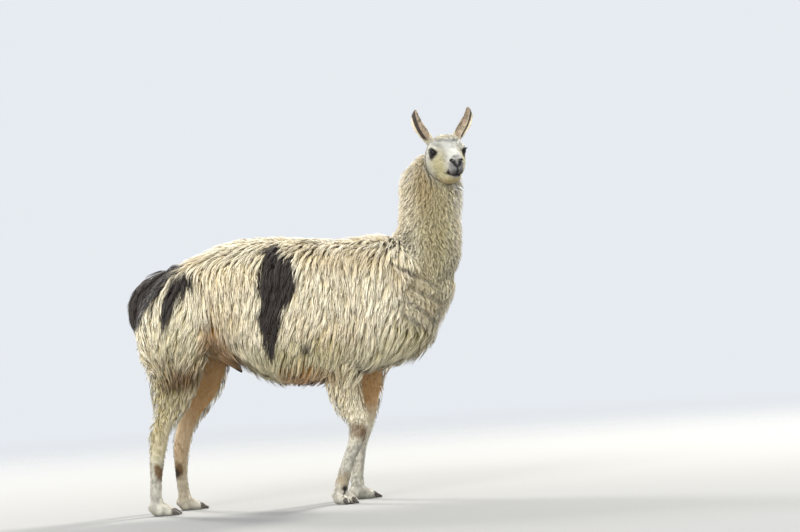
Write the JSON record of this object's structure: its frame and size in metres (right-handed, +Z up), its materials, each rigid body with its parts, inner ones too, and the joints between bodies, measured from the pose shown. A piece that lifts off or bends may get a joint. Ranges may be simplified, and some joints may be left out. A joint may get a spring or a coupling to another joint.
{
  "type": "llama",
  "caption": "Life-size still model of a standing llama in long fleece, its head turned to the right, with a dark saddle patch, dark tail and two-toed padded feet.",
  "frame": {"origin": "on the floor under the middle of the outline, with the soles of the feet at z = 0", "axes": "+X from tail to chest, +Y to the llama's left side, +Z up"},
  "size_m": [1.5724, 0.5434, 1.695],
  "materials": {
    "fleece": "matt, long cream wool",
    "tail_fleece": "matt, long dark brown wool",
    "short_fur": "matt short fur",
    "ear_fur": "matt short fur over bare pink skin",
    "eye": "wet gloss",
    "claw": "dull horn"
  },
  "bodies": {
    "root": {"torso": "fleece", "neck": "fleece", "tail": "tail_fleece", "head": "short_fur", "ear_right": "ear_fur", "ear_left": "ear_fur", "eye_right": "eye", "eye_left": "eye", "upper_leg_front_right": "short_fur", "lower_leg_front_right": "short_fur", "upper_leg_front_left": "short_fur", "lower_leg_front_left": "short_fur", "upper_leg_hind_right": "short_fur", "lower_leg_hind_right": "short_fur", "upper_leg_hind_left": "short_fur", "lower_leg_hind_left": "short_fur", "foot_front_right": "short_fur", "foot_front_left": "short_fur", "foot_hind_right": "short_fur", "foot_hind_left": "short_fur", "claw_front_right_outer": "claw", "claw_front_right_inner": "claw", "claw_front_left_outer": "claw", "claw_front_left_inner": "claw", "claw_hind_right_outer": "claw", "claw_hind_right_inner": "claw", "claw_hind_left_outer": "claw", "claw_hind_left_inner": "claw"}
  },
  "joints": []
}
